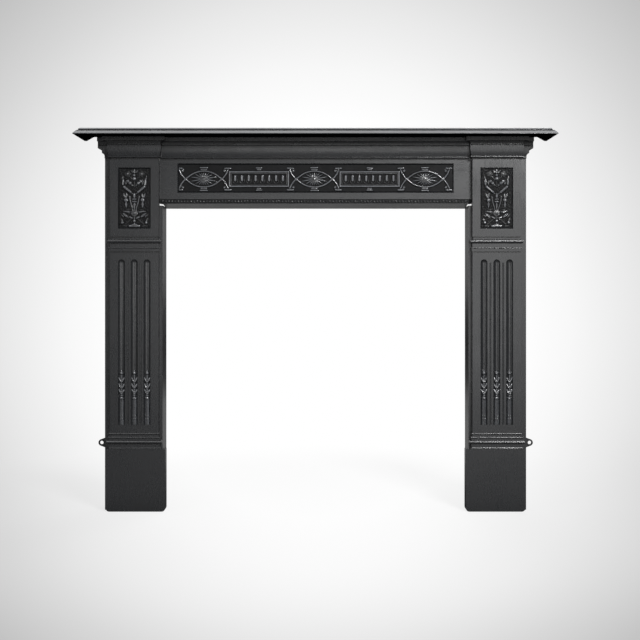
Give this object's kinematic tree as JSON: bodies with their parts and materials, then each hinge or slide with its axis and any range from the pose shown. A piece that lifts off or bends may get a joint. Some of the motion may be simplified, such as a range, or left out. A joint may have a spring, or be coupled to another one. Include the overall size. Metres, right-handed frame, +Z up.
{
  "type": "fireplace surround",
  "caption": "Cast iron mantelpiece: fluted pilaster jambs on plain plinths, a relief frieze and a moulded shelf, framing a fire opening.",
  "frame": {"origin": "middle of the footprint of the whole piece, at hearth level, half way between the wall plane and the nose of the shelf", "axes": "+X along the width to the viewer's right, the front faces -Y and the back lies in the wall plane at +Y, +Z up"},
  "size_m": [1.53, 0.205, 1.223],
  "materials": {
    "cast_iron": "matt black stove finish on sand-cast iron",
    "relief_iron": "matt black stove finish, burnished a little on the high points",
    "steel_fixings": "zinc plated steel, dulled"
  },
  "bodies": {
    "root": {"left_jamb": "cast_iron", "right_jamb": "cast_iron", "frieze": "cast_iron", "mantel_shelf": "cast_iron", "left_wall_lug": "cast_iron", "right_wall_lug": "cast_iron", "left_floral_panel": "relief_iron", "right_floral_panel": "relief_iron", "frieze_relief_panel": "relief_iron", "bead_strip": "relief_iron", "left_husk_drops": "relief_iron", "right_husk_drops": "relief_iron", "left_frieze_bolts": "steel_fixings", "right_frieze_bolts": "steel_fixings", "left_frieze_nuts": "steel_fixings", "right_frieze_nuts": "steel_fixings", "left_frieze_washers": "steel_fixings", "right_frieze_washers": "steel_fixings", "left_shelf_bolts": "steel_fixings", "right_shelf_bolts": "steel_fixings", "left_shelf_washers": "steel_fixings", "right_shelf_washers": "steel_fixings", "frieze_top_bolts": "steel_fixings", "frieze_top_washers": "steel_fixings"}
  },
  "joints": []
}
